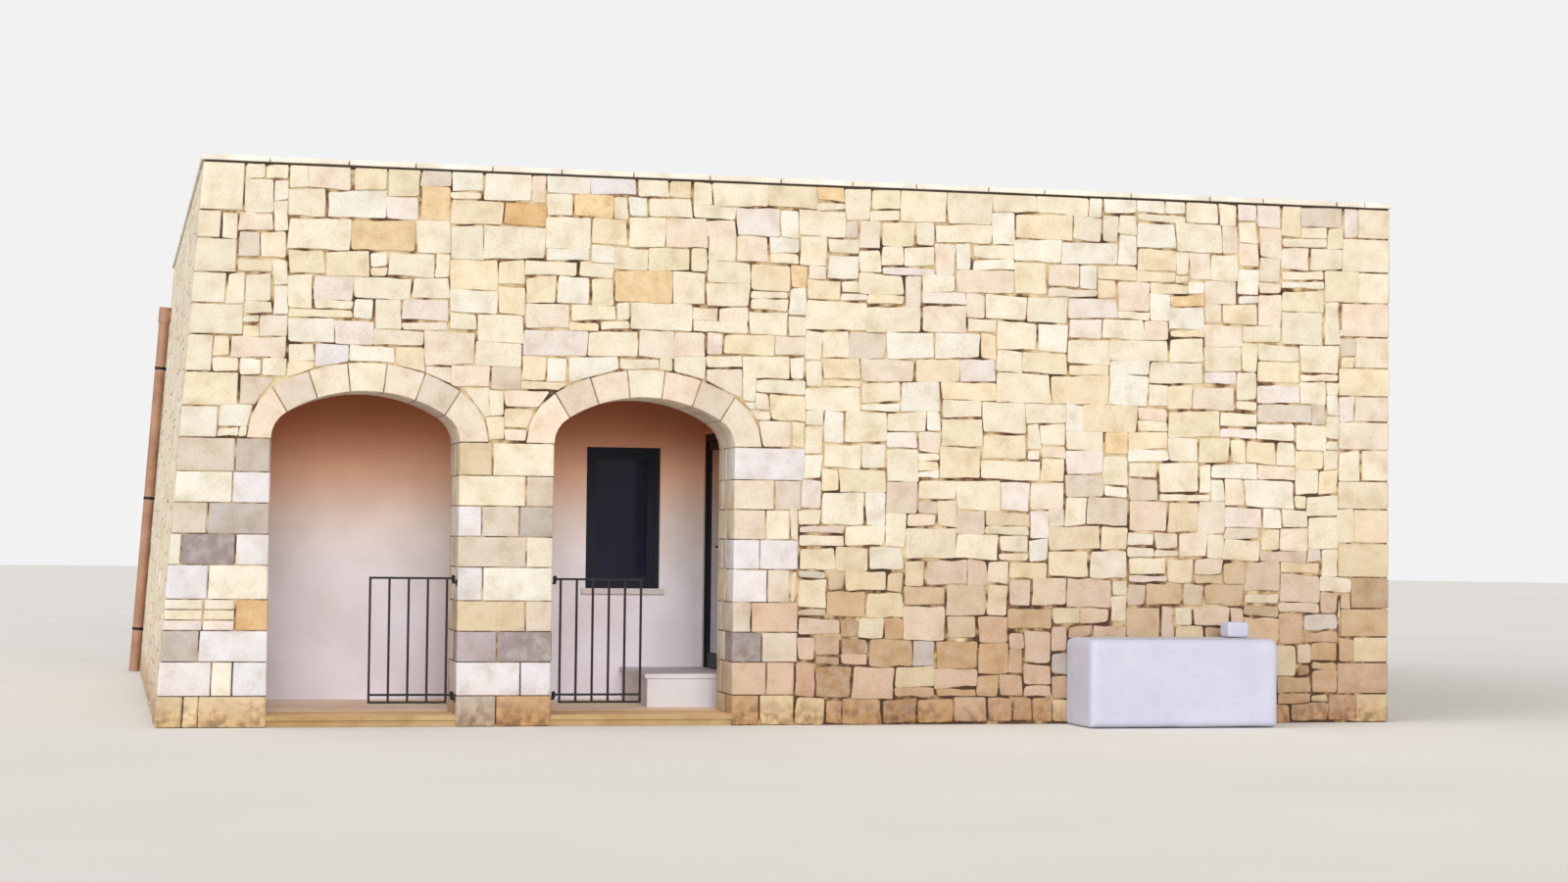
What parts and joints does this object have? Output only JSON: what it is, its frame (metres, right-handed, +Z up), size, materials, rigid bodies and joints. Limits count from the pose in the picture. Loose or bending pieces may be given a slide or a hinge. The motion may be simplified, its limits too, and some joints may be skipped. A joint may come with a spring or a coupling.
{
  "type": "stone house with arched porch",
  "caption": "Flat-roofed limestone house with arched openings into a porch, a glazed entrance door, low iron gates, a downpipe and a limewashed cistern block.",
  "frame": {"origin": "centre of the whole object's box on plan, at the ground", "axes": "+X to the right along the front wall, +Y from the front to the back, +Z up"},
  "size_m": [10.7832, 10.49, 4.6],
  "materials": {
    "limestone": "rough split faces, raked joints",
    "arch_stone": "dressed, slightly rough",
    "coping_stone": "sawn, weathered",
    "plaster": "smooth lime plaster, matt",
    "step_stone": "honed, worn",
    "floor_stone": "sawn ochre stone, worn",
    "ceiling_clay": "matt fired clay",
    "roof_paving": "matt stone paving",
    "dark_frame": "satin paint",
    "glass": "clear, dark behind",
    "iron": "satin paint over forged bar",
    "pipe_clay": "matt painted tube",
    "limewash": "chalky limewash"
  },
  "bodies": {
    "house": {"left_pier": "limestone", "middle_pier": "limestone", "right_pier": "limestone", "front_wall_upper": "limestone", "front_wall_right": "limestone", "left_side_wall": "limestone", "right_side_wall": "limestone", "back_wall": "limestone", "left_arch": "arch_stone", "right_arch": "arch_stone", "front_coping": "coping_stone", "left_coping": "coping_stone", "right_coping": "coping_stone", "back_coping": "coping_stone", "porch_back_wall": "plaster", "return_wall_front": "plaster", "return_wall_back": "plaster", "return_wall_over_door": "plaster", "door_sill": "step_stone", "entrance_landing": "step_stone", "window_sill": "step_stone", "porch_floor": "floor_stone", "left_threshold": "floor_stone", "right_threshold": "floor_stone", "room_floor_front": "floor_stone", "room_floor_back": "floor_stone", "porch_ceiling": "ceiling_clay", "roof_slab": "roof_paving", "window_frame": "dark_frame", "window_sash": "dark_frame", "door_frame": "dark_frame", "window_glass": "glass", "left_gate_pintles": "iron", "right_gate_pintles": "iron", "downpipe_brackets": "iron", "downpipe": "pipe_clay", "cistern": "limewash", "cistern_cap": "limewash"},
    "entrance_door": {"door_leaf": "dark_frame", "door_glass": "glass", "door_handle": "iron"},
    "left_gate_leaf": {"left_gate": "iron"},
    "right_gate_leaf": {"right_gate": "iron"}
  },
  "joints": [
    {"name": "entrance_door_hinge", "type": "hinge", "parent": "house", "child": "entrance_door", "pos_m": [-0.2964, -2.488, 1.4], "axis": [0, 0, 1], "range_deg": [0, 90]},
    {"name": "left_gate_hinge", "type": "hinge", "parent": "house", "child": "left_gate_leaf", "pos_m": [-2.9044, -4.523, 0.7], "axis": [0, 0, -1], "range_deg": [0, 90]},
    {"name": "right_gate_hinge", "type": "hinge", "parent": "house", "child": "right_gate_leaf", "pos_m": [-2.0644, -4.523, 0.7], "axis": [0, 0, 1], "range_deg": [0, 90]}
  ]
}
